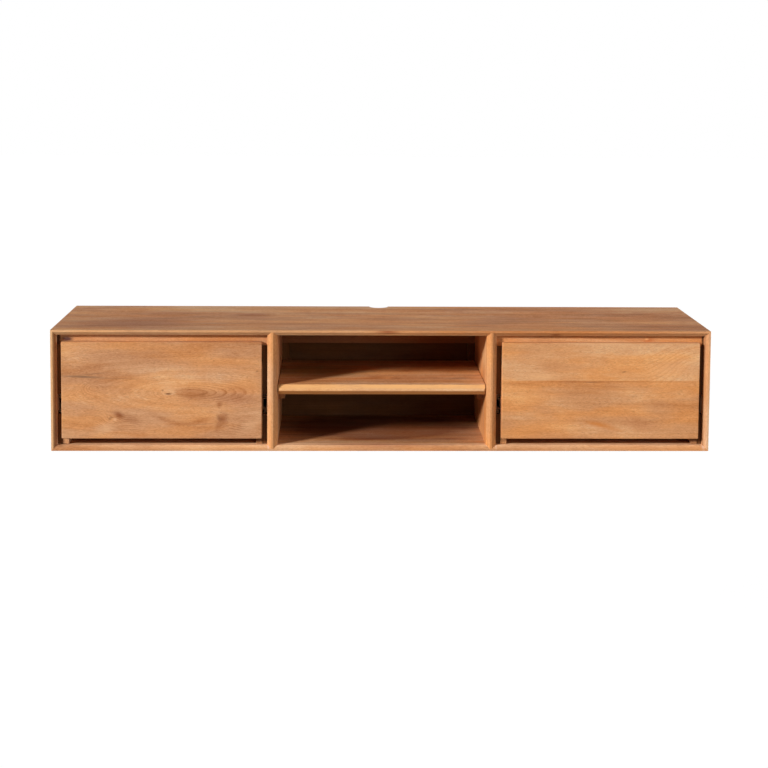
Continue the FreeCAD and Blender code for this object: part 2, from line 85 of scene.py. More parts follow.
# ---- Lamps ----
# One soft lamp stands low at the front left and draws the shadows. A weak one at the front right reaches
# into the open compartment, and a wide one far to the right lifts the bevels that the others leave dark.
# Azimuths go from the front of the console towards its left end.


def lamp(name, azimuth, elevation, strength, width):
    """A distant lamp; width is the angle that it fills, which softens its shadows."""
    data = bpy.data.lights.new(name, "SUN")
    data.energy = strength
    data.angle = math.radians(width)
    made = bpy.data.objects.new(name, data)
    scene.collection.objects.link(made)
    turn = math.radians(azimuth)
    rise = math.radians(elevation)
    towards = Vector((-math.sin(turn) * math.cos(rise), -math.cos(turn) * math.cos(rise), math.sin(rise)))
    made.rotation_mode = "QUATERNION"
    made.rotation_quaternion = towards.to_track_quat("Z", "Y")


lamp("key_lamp", azimuth=51.5, elevation=21.3, strength=3.93, width=9.0)
lamp("fill_lamp", azimuth=-33.0, elevation=3.0, strength=0.45, width=28.0)
lamp("side_lamp", azimuth=-75.0, elevation=10.0, strength=0.87, width=20.0)

# ---- Floor and surroundings ----
# A plain pale floor well below the console, and even soft light all round. Both are seen as plain white, and
# the floor keeps a trace of the console's shadow.


class Wire:
    """One socket in a node tree. Sums, differences and products of wires and numbers add Math nodes."""

    def __init__(self, tree, socket=None):
        self.tree = tree
        self.socket = socket

    def node(self, kind, settings=(), sockets=(), output=0):
        """Adds a node, sets it up, fills or joins its sockets, and gives the wire of one output."""
        made = self.tree.nodes.new(kind)
        for field, value in dict(settings).items():
            if field == "stops":
                for place, colour in value[len(made.color_ramp.elements):]:
                    made.color_ramp.elements.new(place)
                for stop, (place, colour) in zip(made.color_ramp.elements, value):
                    stop.position = place
                    stop.color = colour
            else:
                setattr(made, field, value)
        for key, value in dict(sockets).items():
            if isinstance(value, Wire):
                self.tree.links.new(value.socket, made.inputs[key])
            else:
                made.inputs[key].default_value = value
        return Wire(self.tree, made.outputs[output] if made.outputs else None)

    def out(self, name):
        """Another output of the same node."""
        return Wire(self.tree, self.socket.node.outputs[name])

    def math(self, operation, first, second=0.0):
        return self.node("ShaderNodeMath", {"operation": operation}, {0: first, 1: second})

    def __add__(self, other):
        return self.math("ADD", self, other)

    def __radd__(self, other):
        return self.math("ADD", other, self)

    def __sub__(self, other):
        return self.math("SUBTRACT", self, other)

    def __rsub__(self, other):
        return self.math("SUBTRACT", other, self)

    def __mul__(self, other):
        return self.math("MULTIPLY", self, other)

    def __rmul__(self, other):
        return self.math("MULTIPLY", other, self)

    def __truediv__(self, other):
        return self.math("DIVIDE", self, other)


def tint(red, green, blue):
    """A colour given as 0 to 255 on a screen, as the shader's linear values."""
    parts = [part / 255.0 for part in (red, green, blue)]
    linear = [part / 12.92 if part <= 0.04045 else ((part + 0.055) / 1.055) ** 2.4 for part in parts]
    return (*linear, 1.0)


def seen_directly(start):
    """1 for rays from the camera, off gloss or through glass, and 0 for the light that falls on things."""
    path = start.node("ShaderNodeLightPath")
    rays = path.out("Is Camera Ray") + path.out("Is Glossy Ray") + path.out("Is Transmission Ray")
    return start.math("MINIMUM", rays, 1.0)


white = (1.0, 1.0, 1.0, 1.0)
surround_light = (0.05, 0.05, 0.05, 1.0)
world = bpy.data.worlds.new("surroundings")
scene.world = world
world.use_nodes = True
world.node_tree.nodes.clear()
air = Wire(world.node_tree)
sky = air.node("ShaderNodeMix", {"data_type": "RGBA"},
               {0: seen_directly(air), 6: surround_light, 7: white}, output=2)
air.node("ShaderNodeOutputWorld", (), {0: air.node("ShaderNodeBackground", (), {0: sky, 1: 1.0})})

floor_drop = 1.0
floor_width = 60.0
floor_paint = (0.45, 0.45, 0.45, 1.0)
floor_white_share = 0.93
floor_glow = 1.07
bpy.ops.object.select_all(action="DESELECT")
bpy.ops.mesh.primitive_plane_add(size=floor_width, location=(0.0, 0.0, cad_box[0].z - floor_drop))
floor = bpy.context.object
floor.name = "floor"
floor_finish = bpy.data.materials.new("pale_floor")
floor_finish.use_nodes = True
floor_finish.node_tree.nodes.clear()
ground = Wire(floor_finish.node_tree)
paint = ground.node("ShaderNodeBsdfDiffuse", (), {0: floor_paint})
glow = ground.node("ShaderNodeEmission", (), {0: white, 1: floor_glow})
shown = ground.node("ShaderNodeMixShader", (),
                    {0: seen_directly(ground) * floor_white_share, 1: paint, 2: glow})
ground.node("ShaderNodeOutputMaterial", (), {0: shown})
floor.data.materials.append(floor_finish)

# ---- Top panel ----
# A 13 mm board of solid mango wood across the whole case, mitred at its ends. Its inner front edge has a
# 45-degree bevel and its rear edge a half-round notch for cables; every free edge is rubbed round by hand.

panel_thickness = 0.013
frame_bevel = 0.008
hand_radius = 0.0009
notch_radius = 0.025
notch_sides = 96
smooth_angle = math.radians(32.0)
touch = 1e-5      # points this near to a plane lie on it
weld_reach = 1e-6


def sawn_board(name, low, high):
    """A board with square edges between two corners, left open in edit mode."""
    bpy.ops.object.select_all(action="DESELECT")
    bpy.ops.mesh.primitive_cube_add(size=1.0, location=(Vector(low) + Vector(high)) / 2)
    piece = bpy.context.object
    piece.name = name
    piece.data.name = name
    piece.scale = Vector(high) - Vector(low)
    bpy.ops.object.transform_apply(location=True, rotation=False, scale=True)
    bpy.ops.object.mode_set(mode="EDIT")
    return piece


def trim(point, outward):
    """Saws off what lies beyond a plane and closes the cut."""
    bpy.ops.mesh.select_all(action="SELECT")
    bpy.ops.mesh.bisect(plane_co=point, plane_no=outward, use_fill=True, clear_outer=True)


def pick_edges(piece, wanted):
    """Selects the edges between two unlike faces whose end points pass a test."""
    bpy.ops.mesh.select_mode(type="EDGE")
    bpy.ops.mesh.select_all(action="DESELECT")
    mesh = bmesh.from_edit_mesh(piece.data)
    for edge in mesh.edges:
        sharp = len(edge.link_faces) == 2 and edge.calc_face_angle() > smooth_angle
        edge.select_set(sharp and wanted(edge.verts[0].co, edge.verts[1].co))
    bmesh.update_edit_mesh(piece.data)


def round_edges(piece, radius, wanted, segments=3):
    """Rubs the chosen edges round."""
    pick_edges(piece, wanted)
    bpy.ops.mesh.bevel(offset=radius, segments=segments, profile=0.5, clamp_overlap=True)


def cut_with(piece, cutter):
    """Cuts a shape out of a piece and throws the cutter away."""
    bpy.ops.object.select_all(action="DESELECT")
    bpy.context.view_layer.objects.active = piece
    piece.select_set(True)
    bpy.ops.object.modifier_add(type="BOOLEAN")
    cut = piece.modifiers[-1]
    cut.operation = "DIFFERENCE"
    cut.solver = "EXACT"
    cut.object = cutter
    bpy.ops.object.modifier_apply(modifier=cut.name)
    bpy.data.objects.remove(cutter)


def bore_for(piece, *nodes):
    """Bores the holes and grooves that dowels, tongues and screws sit in."""
    for node in nodes:
        bpy.ops.object.select_all(action="DESELECT")
        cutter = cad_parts[node].copy()
        cutter.data = cutter.data.copy()
        cutter.parent = None
        scene.collection.objects.link(cutter)
        bpy.context.view_layer.objects.active = cutter
        cutter.select_set(True)
        bpy.ops.object.mode_set(mode="EDIT")
        bpy.ops.mesh.select_all(action="SELECT")
        bpy.ops.mesh.remove_doubles(threshold=weld_reach)
        bpy.ops.object.mode_set(mode="OBJECT")
        cut_with(piece, cutter)


def smooth(piece):
    """Shades the rounded edges smoothly and keeps the wide faces flat."""
    bpy.ops.object.select_all(action="DESELECT")
    bpy.context.view_layer.objects.active = piece
    piece.select_set(True)
    bpy.ops.object.shade_smooth_by_angle(angle=smooth_angle)
    bpy.ops.object.modifier_add(type="WEIGHTED_NORMAL")
    piece.modifiers[-1].keep_sharp = True
    bpy.ops.object.modifier_apply(modifier=piece.modifiers[-1].name)


def on_mitre(point):
    """Whether a point lies in the slanting joint at either end of the case."""
    return abs((abs(point.x) - cad_box[1].x) - (abs(point.z) - cad_box[1].z)) < touch


honey_tones = (
    (0.05, tint(142, 87, 50)),
    (0.34, tint(191, 130, 84)),
    (0.60, tint(217, 160, 112)),
    (0.92, tint(237, 194, 150)),
)
warm_tones = (
    (0.05, tint(132, 78, 44)),
    (0.34, tint(180, 118, 74)),
    (0.60, tint(207, 147, 101)),
    (0.92, tint(232, 182, 134)),
)
pore_brown = tint(112, 66, 40)
orange_cast = tint(255, 244, 226)
grey_cast = tint(244, 246, 255)
stave_step = 0.87     # the next stave comes from this much further along its log
stave_rise = 0.045    # and from this much further up from the pith
seed_step = 1.37      # between the woods of two seeds
# Where the painted shade on a board's underside begins and where it is full, measured down from its middle.
underside_from = -0.0005
underside_full = -0.0030
wood_gloss = 0.08


def spot(board, along, across, half_length, half_width, turn=0.0):
    """1 in the middle of an oval on the board and 0 outside it. Turn is in degrees."""
    oval = board.node("ShaderNodeMapping", {"vector_type": "TEXTURE"},
                      {"Vector": board, "Location": (along, across, 0.0),
                       "Rotation": (0.0, 0.0, math.radians(turn)),
                       "Scale": (half_length, half_width, 1.0)})
    reach = board.node("ShaderNodeVectorMath", {"operation": "LENGTH"}, {0: oval}, output="Value")
    return board.node("ShaderNodeMapRange", {"interpolation_type": "SMOOTHSTEP"},
                      {"Value": reach, "From Min": 1.0, "From Max": 0.0, "To Min": 0.0, "To Max": 1.0})


def noise(board, along, across, deep, detail=2.0, roughness=0.5):
    """Even noise that fills a space measured by three wires, about 0.5 everywhere."""
    place = board.node("ShaderNodeCombineXYZ", (), {0: along, 1: across, 2: deep})
    return board.node("ShaderNodeTexNoise", {"noise_dimensions": "3D"},
                      {"Vector": place, "Scale": 1.0, "Detail": detail, "Roughness": roughness})


def blend(start, base, colour, factor, mode="MIX"):
    """Lays a colour over another one."""
    return start.node("ShaderNodeMix", {"data_type": "RGBA", "blend_type": mode},
                     {0: factor, 6: base, 7: colour}, output=2)


def ramp(wire, low, high):
    """Turns the stretch from low to high into one from 0 to 1, with soft ends."""
    return wire.node("ShaderNodeMapRange", {"interpolation_type": "SMOOTHSTEP"},
                     {"Value": wire, "From Min": low, "From Max": high, "To Min": 0.0, "To Max": 1.0})


def wood(name, grain, seed, pith, tones=honey_tones, tone=0.54, ring=0.0042, stretch=0.05, middle=0.0,
         waver=0.018, seams=(), rises=(), marks=(), shades=(), contrast=1.0, fine=1.0, ring_lines=0.5,
         clear=(), underside=None):
    """Solid wood. Grain names the axes along the board, across it and through it, and seed picks the tree.
    The yearly rings, each about ring wide, lie round a pith line at (across, through), drawn out along the
    board by stretch from its middle and straying by waver. Tone is the mean place on the tones, contrast
    how far the wood leaves it, fine the share of its fine grain and ring_lines that of the dark lines
    between the years. Seams are the places across the board where its staves are glued. A rise is an oval
    (along, across, half length, half width, turn, height) where the rings bulge, as round a knot; a mark
    is a stain (along, across, half length, half width, turn, colour, strength) that hides the wood and a
    shade is one that the grain shows through; some marks and shades are painted light and shade. In the
    ovals of clear the dark lines between the years are cut cleanly (along, across, half length, half width,
    turn, strength). The underside colour is a painted shade, multiplied over the lower half of a board
    that lies flat at its own middle."""
    finish = bpy.data.materials.new(name)
    finish.use_nodes = True
    finish.node_tree.nodes.clear()
    start = Wire(finish.node_tree)
    split = start.node("ShaderNodeSeparateXYZ", (), {0: start.node("ShaderNodeTexCoord", output="Object")})
    along, across, deep = (split.out(letter) for letter in grain)
    face = start.node("ShaderNodeCombineXYZ", (), {0: along, 1: across, 2: 0.0})

    stave = 0.0
    for seam in seams:
        stave = stave + start.math("GREATER_THAN", across, seam)
    length = along + stave * stave_step + seed * seed_step
    # Noise is given in waves per metre along, across and through the board, so that it is long in the grain.
    sweep = noise(start, length * 2.2, across * 8.0, deep * 8.0, detail=2.0) - 0.5
    ripple = noise(start, length * 9.0, across * 34.0, deep * 34.0, detail=2.0) - 0.5
    height = across - (pith[0] + stave * stave_rise)
    depth = deep - pith[1]
    run = (along - middle) * stretch
    figure = start.math("SQRT", height * height + depth * depth + run * run)
    figure = figure + sweep * waver + ripple * waver * 0.16
    for u, v, half_length, half_width, turn, lift in rises:
        figure = figure + spot(face, u, v, half_length, half_width, turn) * lift

    cloud = noise(start, length * 3.2, across * 13.0, deep * 13.0, detail=3.0) - 0.5
    patch = noise(start, length * 14.0, across * 40.0, deep * 40.0, detail=3.0, roughness=0.6) - 0.5
    hue = noise(start, length * 5.0 + 7.0, across * 22.0, deep * 22.0, detail=3.0)
    band = noise(start, length * 1.6, figure * (0.3 / ring), stave * 3.1 + seed, detail=2.0) - 0.5
    rings = noise(start, length * 2.6, figure / ring, stave * 5.3 + seed, detail=3.0, roughness=0.6) - 0.5
    fibre = noise(start, length * 60.0, figure * 620.0 + across * 160.0, deep * 420.0, detail=3.0,
                  roughness=0.65) - 0.5
    speckle = noise(start, length * 150.0, across * 420.0, deep * 420.0, detail=1.0) - 0.5
    dashes = noise(start, length * 170.0, across * 1500.0, deep * 1500.0, detail=1.0)
    pores = ramp(dashes + rings * 0.3 + patch * 0.2, 0.58, 0.72)
    year = start.math("FRACT", figure / (ring * 1.9) + band * 1.2 + seed)
    year_end = ((0.0, (0, 0, 0, 1)), (0.55, (0.10, 0.10, 0.10, 1)),
                (0.90, (1, 1, 1, 1)), (0.98, (0, 0, 0, 1)))
    edge_lines = start.node("ShaderNodeValToRGB", {"stops": year_end}, {0: year})
    faded = ramp(patch + cloud * 0.6, -0.16, 0.10)

    grainy = band * 0.45 + rings * 0.36 + fibre * 0.28
    level = tone + (cloud * 0.80 + patch * 0.42 + grainy * fine + speckle * 0.30) * contrast
    level = level - edge_lines * faded * 0.20 * ring_lines
    for u, v, half_length, half_width, turn, strength in clear:
        level = level - edge_lines * spot(face, u, v, half_length, half_width, turn) * strength
    if seams:
        level = level + start.node("ShaderNodeTexWhiteNoise", {"noise_dimensions": "1D"},
                                   {"W": stave * 7.7 + seed}) * 0.16 - 0.08
    colour = start.node("ShaderNodeValToRGB", {"stops": tones}, {0: level})
    cast = blend(start, orange_cast, grey_cast, ramp(hue, 0.36, 0.64))
    colour = blend(start, colour, cast, 1.0, "MULTIPLY")
    colour = blend(start, colour, pore_brown, pores * 0.38)
    for u, v, half_length, half_width, turn, stain, strength in marks:
        oval = spot(face, u, v, half_length, half_width, turn)
        ragged = oval * (strength + (fibre + patch) * 1.4 * strength)
        colour = blend(start, colour, stain, start.math("MAXIMUM", ragged, 0.0))
    for u, v, half_length, half_width, turn, stain, strength in shades:
        oval = spot(face, u, v, half_length, half_width, turn)
        ragged = oval * (strength + patch * 1.6 * strength)
        colour = blend(start, colour, stain, start.math("MAXIMUM", ragged, 0.0), "MULTIPLY")
    if underside:
        colour = blend(start, colour, underside, ramp(deep, underside_from, underside_full), "MULTIPLY")

    relief = fibre * 0.6 + rings * 0.25 - pores * 0.8
    bump = start.node("ShaderNodeBump", (), {"Strength": 0.25, "Distance": 0.0004, "Height": relief})
    shine = start.node("ShaderNodeBsdfPrincipled", (),
                       {"Base Color": colour, "Roughness": 0.60 - fibre * 0.25 + pores * 0.15,
                        "Specular IOR Level": wood_gloss, "Normal": bump})
    start.node("ShaderNodeOutputMaterial", (), {0: shine})
    return finish


def dress(piece, finish):
    """Gives a piece its one finish."""
    piece.data.materials.clear()
    piece.data.materials.append(finish)


dark_streak = tint(112, 74, 50)
brown_patch = tint(160, 106, 70)
red_dash = tint(150, 84, 52)

low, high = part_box("top_panel")
top = sawn_board("top_board", low, high)
for turn in (-1, 1):
    trim((turn * high.x, 0.0, high.z), (turn, 0.0, -1.0))
trim((0.0, low.y + frame_bevel, low.z), (0.0, -1.0, -1.0))
bpy.ops.object.mode_set(mode="OBJECT")
bpy.ops.mesh.primitive_cylinder_add(vertices=notch_sides, radius=notch_radius, depth=4 * panel_thickness,
                                    location=(0.0, 0.0, high.z))
cut_with(top, bpy.context.object)
bpy.ops.object.mode_set(mode="EDIT")
round_edges(top, hand_radius, lambda a, b: not (on_mitre(a) and on_mitre(b)))
bpy.ops.object.mode_set(mode="OBJECT")
bore_for(top, "case_dowels", "case_screws", "mitre_splines")
smooth(top)
# A pale stripe laid along front edges: painted light in place of the light that bounces onto the flat edge
# and the bevel next to it.
painted_edge_light = tint(242, 192, 140)
# A darker, more orange stripe along front edges: partly the tone of the wood, and on the top partly painted
# shade on the bevel that faces down.
edge_tone_and_shade = tint(232, 206, 182)
orange_heart = tint(255, 246, 234)
# On the top, the pale stripe along the front edge is painted light, and the darker stripe over its middle and
# right takes some of it back.
dress(top, wood("top_wood", "XYZ", seed=1, pith=(-0.16, 0.02), tones=warm_tones, tone=0.635, ring=0.0036,
                stretch=0.02, waver=0.022, seams=(-0.287, -0.118), contrast=1.35, fine=0.7,
                marks=((0.0, -0.3960, 3.0, 0.014, 0.0, painted_edge_light, 0.5),
                       (-0.555, -0.218, 0.060, 0.004, 0.0, dark_streak, 0.8),
                       (-0.176, -0.187, 0.012, 0.003, 0.0, red_dash, 0.6),
                       (-0.116, -0.213, 0.030, 0.003, 0.0, red_dash, 0.4),
                       (0.593, -0.239, 0.050, 0.006, 0.0, dark_streak, 0.6),
                       (0.690, -0.120, 0.040, 0.008, 0.0, dark_streak, 0.6),
                       (0.782, -0.252, 0.010, 0.003, 0.0, dark_streak, 0.4),
                       (0.013, -0.3990, 0.045, 0.0035, 0.0, red_dash, 0.8),
                       (0.433, -0.3950, 0.022, 0.0060, 0.0, red_dash, 0.6)),
                shades=((0.400, -0.3980, 0.900, 0.009, 0.0, edge_tone_and_shade, 1.1),
                        (0.450, -0.200, 0.900, 0.500, 0.0, orange_heart, 1.0),
                        (-0.330, -0.160, 0.090, 0.045, 0.0, brown_patch, 0.65),
                        (-0.640, -0.300, 0.300, 0.120, 0.0, brown_patch, 0.4))))
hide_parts("top_panel")
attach(top, "case")

# ---- Bottom panel ----
# The same board as the top, turned over, with a bevel and no notch. Its upper face is the floor of the open
# compartment, painted darker and redder there and darker still at the back as painted shade; its front strip
# under the drawer fronts is painted lighter as painted light.

low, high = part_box("bottom_panel")
bottom = sawn_board("bottom_board", low, high)
for turn in (-1, 1):
    trim((turn * high.x, 0.0, low.z), (turn, 0.0, 1.0))
trim((0.0, low.y + frame_bevel, high.z), (0.0, -1.0, 1.0))
round_edges(bottom, hand_radius, lambda a, b: not (on_mitre(a) and on_mitre(b)))
bpy.ops.object.mode_set(mode="OBJECT")
bore_for(bottom, "case_dowels", "mitre_splines")
smooth(bottom)
# A pale stripe, painted light on the bevel and the strip of floor behind it under the drawer fronts; the
# redder stripe over the middle takes it back where the compartment is open.
painted_bevel_light = tint(255, 206, 158)
pale_filler = tint(240, 204, 178)
redder_tone = tint(206, 178, 172)
# Painted shade at the back of the compartment floor, cooler than the wood.
painted_rear_shade = tint(214, 226, 222)
# Darkens and reddens the floor of the open compartment, under the shelf.
compartment_floor_darkening = tint(180, 158, 154)
dress(bottom, wood("bottom_wood", "XYZ", seed=5, pith=(-0.33, -0.19), ring=0.0034, stretch=0.02, contrast=1.3,
                   marks=((0.0, -0.3820, 3.0, 0.018, 0.0, painted_bevel_light, 1.0),
                          (0.0, -0.3980, 3.0, 0.006, 0.0, painted_edge_light, 0.2),
                          (-0.2830, -0.3960, 0.004, 0.006, 0.0, pale_filler, 0.8),
                          (0.2860, -0.3960, 0.003, 0.006, 0.0, pale_filler, 0.5),
                          (0.8080, -0.3960, 0.007, 0.007, 0.0, pale_filler, 0.7)),
                   shades=((0.0, -0.195, 0.360, 0.205, 0.0, compartment_floor_darkening, 2.6),
                           (0.0, -0.384, 0.300, 0.022, 0.0, redder_tone, 1.0),
                           (0.0, -0.070, 0.500, 0.200, 0.0, painted_rear_shade, 1.2),
                           (0.0, -0.402, 3.000, 0.012, 0.0, edge_tone_and_shade, 0.4),
                           (-0.050, -0.330, 0.110, 0.026, 0.0, redder_tone, 0.9),
                           (0.188, -0.325, 0.080, 0.018, 0.0, redder_tone, 0.8))))
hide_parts("bottom_panel")
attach(bottom, "case")

# ---- Side panels ----
# Two upright 13 mm boards that close the ends of the case, mitred to the top and bottom and bevelled along
# their inner front edge. Their grain stands upright.

# Painted shade and light along the front edges: the dark stripe is painted shade on the inner bevel beside
# each drawer front, and on the left panel the pale stripes are painted light on the flat front edge and on
# the inner face seen in the gap.
painted_bevel_shade = tint(198, 186, 174)
painted_inner_light = tint(212, 176, 144)
side_finish = {
    "left": dict(seed=11,
                 marks=((0.0, -0.4010, 1.2, 0.006, 0.0, painted_edge_light, 0.8),
                        (0.0, -0.3850, 1.2, 0.007, 0.0, painted_inner_light, 0.6)),
                 shades=((0.0, -0.3950, 1.2, 0.007, 0.0, painted_bevel_shade, 1.1),)),
    "right": dict(seed=14, shades=((0.0, -0.3900, 1.2, 0.007, 0.0, painted_bevel_shade, 0.9),)),
}
for end, turn in (("left", -1), ("right", 1)):
    low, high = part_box("side_panel_" + end)
    side = sawn_board("side_board_" + end, low, high)
    for level in (-1, 1):
        trim((turn * cad_box[1].x, 0.0, level * high.z), (-turn, 0.0, level))
    inner_x = turn * (cad_box[1].x - panel_thickness)
    trim((inner_x, low.y + frame_bevel, 0.0), (-turn, -1.0, 0.0))
    round_edges(side, hand_radius, lambda a, b: not (on_mitre(a) and on_mitre(b)))
    bpy.ops.object.mode_set(mode="OBJECT")
    bore_for(side, "case_dowels", "case_screws", "mitre_splines")
    smooth(side)
    dress(side, wood("side_wood_" + end, "ZYX", pith=(-0.22, turn * 0.78), ring=0.004, seams=(-0.262, -0.131),
                     **side_finish[end]))
    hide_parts("side_panel_" + end)
    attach(side, "case")

# ---- Dividers ----
# Two 25 mm uprights on either side of the open compartment. Both front edges are bevelled to a narrow nose,
# which runs up and down to a point in the bevels of the top and bottom.

nose_bevel = 0.010
long_edge = 0.1       # an edge that runs further than this runs the length of its board
orange_age = tint(252, 238, 216)
# A pale oval on the upper inner face of the right divider: painted light that makes that lit face paler and
# less red.
painted_inside_light = tint(232, 192, 150)
divider_finish = {
    "left": dict(seed=21, tone=0.63, shades=((0.0, -0.2, 0.9, 0.9, 0.0, orange_age, 0.2),)),
    "right": dict(seed=24, tone=0.52,
                  marks=((0.090, -0.260, 0.085, 0.170, 0.0, painted_inside_light, 0.72),),
                  shades=((0.0, -0.2, 0.9, 0.9, 0.0, orange_age, 1.0),)),
}
for end in ("left", "right"):
    low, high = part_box("divider_" + end)
    inner_height = high.z - frame_bevel
    upright = sawn_board("divider_board_" + end,
                         (low.x, low.y, -inner_height), (high.x, high.y, inner_height))
    bpy.ops.mesh.select_all(action="SELECT")
    bpy.ops.mesh.bisect(plane_co=(0.0, low.y + frame_bevel, 0.0), plane_no=(0.0, 1.0, 0.0))
    for level in (-1, 1):
        bpy.ops.mesh.select_mode(type="VERT")
        bpy.ops.mesh.select_all(action="DESELECT")
        nose = bmesh.from_edit_mesh(upright.data)
        for corner in nose.verts:
            corner.select_set(corner.co.y < low.y + touch and corner.co.z * level > 0.0)
        bmesh.update_edit_mesh(upright.data)
        bpy.ops.transform.translate(value=(0.0, 0.0, level * frame_bevel))
    for face_x, outward in ((low.x, -1.0), (high.x, 1.0)):
        trim((face_x, low.y + nose_bevel, 0.0), (outward, -1.0, 0.0))
    round_edges(upright, hand_radius,
                lambda a, b: min(a.y, b.y) < low.y + nose_bevel + touch and abs(a.z - b.z) > long_edge)
    bpy.ops.object.mode_set(mode="OBJECT")
    bore_for(upright, "case_dowels", "case_screws")
    smooth(upright)
    dress(upright, wood("divider_wood_" + end, "ZYX", pith=(-0.36, low.x * 0.9), ring=0.0036,
                        **divider_finish[end]))
    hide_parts("divider_" + end)
    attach(upright, "case")

# ---- Front rails ----
# A fixed 28 mm rail behind and above each drawer front, doweled into the uprights and screwed up into the
# top. The drawer's soft buttons close against them. Short upright battens close the slots beside the boxes.

purple_knot = tint(92, 62, 58)
pale_knot = tint(244, 196, 140)
orange_ring = tint(184, 96, 48)
# A dark stripe at the outer end of each rail: painted shadow where the side panel keeps the light off it.
painted_end_shadow = tint(70, 42, 24)
rail_finish = {
    "left": dict(seed=31, tone=0.54,
                 marks=((-0.782, 0.1256, 0.022, 0.011, 0.0, purple_knot, 1.1),
                        (-0.8040, 0.1250, 0.0095, 0.040, 0.0, painted_end_shadow, 1.3)),
                 shades=((0.0, 0.12, 3.0, 0.9, 0.0, orange_age, 0.4),)),
    "right": dict(seed=34, tone=0.64,
                  marks=((0.668, 0.1240, 0.024, 0.016, 20.0, orange_ring, 0.5),
                         (0.6630, 0.1285, 0.008, 0.004, 0.0, pale_knot, 0.8),
                         (0.8050, 0.1250, 0.0060, 0.040, 0.0, painted_end_shadow, 1.0)),
                  shades=((0.0, 0.12, 3.0, 0.9, 0.0, orange_age, 1.1),)),
}
for end in ("left", "right"):
    low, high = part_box("front_rail_" + end)
    rail = sawn_board("front_rail_board_" + end, low, high)
    round_edges(rail, hand_radius, lambda a, b: abs(a.x - b.x) > long_edge)
    bpy.ops.object.mode_set(mode="OBJECT")
    bore_for(rail, "case_dowels", "case_screws")
    smooth(rail)
    dress(rail, wood("rail_wood_" + end, "XZY", pith=(0.09, -0.42), ring=0.0034, **rail_finish[end]))
    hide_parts("front_rail_" + end)
    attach(rail, "case")

# ---- Rear rails, battens and back panels ----
# The rails that hang the case on the wall, the battens in the rear corners and against the wall, and the thin
# back boards between them. All stay as sawn, from plainer and browner wood; those deep inside the case and
# the battens in the slots beside the boxes are painted darker still, as painted shade.

plain_tones = (
    (0.10, tint(142, 92, 58)),
    (0.40, tint(170, 116, 76)),
    (0.65, tint(186, 134, 92)),
    (0.90, tint(204, 156, 114)),
)
# Much darker tones, partly a browner wood and partly painted shade for the parts deep inside the case and in
# the slots beside the boxes.
back_tones_with_shade = (
    (0.10, tint(76, 48, 25)),
    (0.40, tint(98, 65, 37)),
    (0.65, tint(112, 76, 45)),
    (0.90, tint(128, 90, 57)),
)
for place, seed in (("left", 41), ("middle", 43), ("right", 45)):
    # The low tone paints the hanging rails darker, partly as painted shade at the back of the compartment.
    dress(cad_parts["hanging_rail_" + place],
          wood("hanging_rail_wood_" + place, "XZY", seed=seed, pith=(0.14, -0.09), tones=plain_tones,
               tone=0.26))
    dress(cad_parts["lower_rail_" + place],
          wood("lower_rail_wood_" + place, "XZY", seed=seed + 0.5, pith=(0.14, -0.09), tones=back_tones_with_shade))
    dress(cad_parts["corner_battens_" + place],
          wood("corner_batten_wood_" + place, "ZXY", seed=seed, pith=(0.3, -0.09), tones=back_tones_with_shade))
    dress(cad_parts["back_panel_" + place],
          wood("back_wood_" + place, "XZY", seed=seed + 1, pith=(-0.02, -0.10), tones=back_tones_with_shade, ring=0.006))
# The slot battens take the dark tones as painted shade in the slots beside the boxes.
dress(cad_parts["slot_battens"],
      wood("slot_batten_wood", "ZXY", seed=37, pith=(0.2, -0.3), tones=back_tones_with_shade))
wall_wood = wood("wall_batten_wood", "XZY", seed=47, pith=(0.0, 0.06), tones=plain_tones)
for node in ("wall_batten_left", "wall_batten_right", "middle_wall_battens", "lower_wall_battens"):
    dress(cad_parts[node], wall_wood)

# ---- Shelf and cleats ----
# One 25 mm board with rounded front corners and a bevel above and below its front edge, so that its nose runs
# to a blunt ridge. It rests on two cleats of 16 by 25 mm that are screwed to the dividers.

shelf_corner_radius = 0.005
shelf_bevel = 0.010
low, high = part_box("shelf")
shelf = sawn_board("shelf_board", low, high)
round_edges(shelf, shelf_corner_radius,
            lambda a, b: max(a.y, b.y) < low.y + touch and abs(a.z - b.z) > touch, segments=8)
for face_z, outward in ((low.z, -1.0), (high.z, 1.0)):
    trim((0.0, low.y + shelf_bevel, face_z), (0.0, -1.0, outward))
round_edges(shelf, hand_radius, lambda a, b: True)
bpy.ops.object.mode_set(mode="OBJECT")
bore_for(shelf, "case_screws")
smooth(shelf)
# Painted shade on the shelf: the lower bevel and underside are darkened, and so are the rear of the top and
# its left part, where the top panel and the left divider shade it; the pale ridge and the brown and orange
# casts are the wood's colour.
pale_ridge = tint(232, 175, 113)
shelf_cast = tint(255, 230, 204)
shelf_rear_painted_shade = tint(196, 206, 198)
shelf_left_painted_shade = tint(206, 236, 228)
shelf_underside_shade = tint(214, 190, 168)
dress(shelf, wood("shelf_wood", "XYZ", seed=52, pith=(-0.24, -0.03), tone=0.72, ring=0.0036, stretch=0.03,
                  middle=0.1, contrast=1.7, underside=shelf_underside_shade,
                  marks=((0.0, -0.3840, 3.0, 0.010, 0.0, pale_ridge, 1.0),),
                  shades=((0.0, -0.190, 0.360, 0.200, 0.0, shelf_cast, 2.6),
                          (0.0, -0.050, 0.500, 0.200, 0.0, shelf_rear_painted_shade, 1.2),
                          (-0.180, -0.200, 0.200, 0.130, 0.0, shelf_left_painted_shade, 1.2),
                          (-0.015, -0.289, 0.034, 0.030, 0.0, brown_patch, 0.35),
                          (0.038, -0.300, 0.024, 0.022, 0.0, brown_patch, 0.3),
                          (0.200, -0.300, 0.060, 0.020, 20.0, brown_patch, 0.3))))
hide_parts("shelf")
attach(shelf, "case")
dress(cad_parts["shelf_cleats"],
      wood("cleat_wood", "YZX", seed=55, pith=(-0.03, 0.0), tones=plain_tones))

# ---- Drawer fronts ----
# Each front is an 18 mm board of the best figured wood with softly rounded edges, grooved behind for the
# drawer's bottom. The left one is cut through a swelling of the rings; the right one is glued from two
# boards.

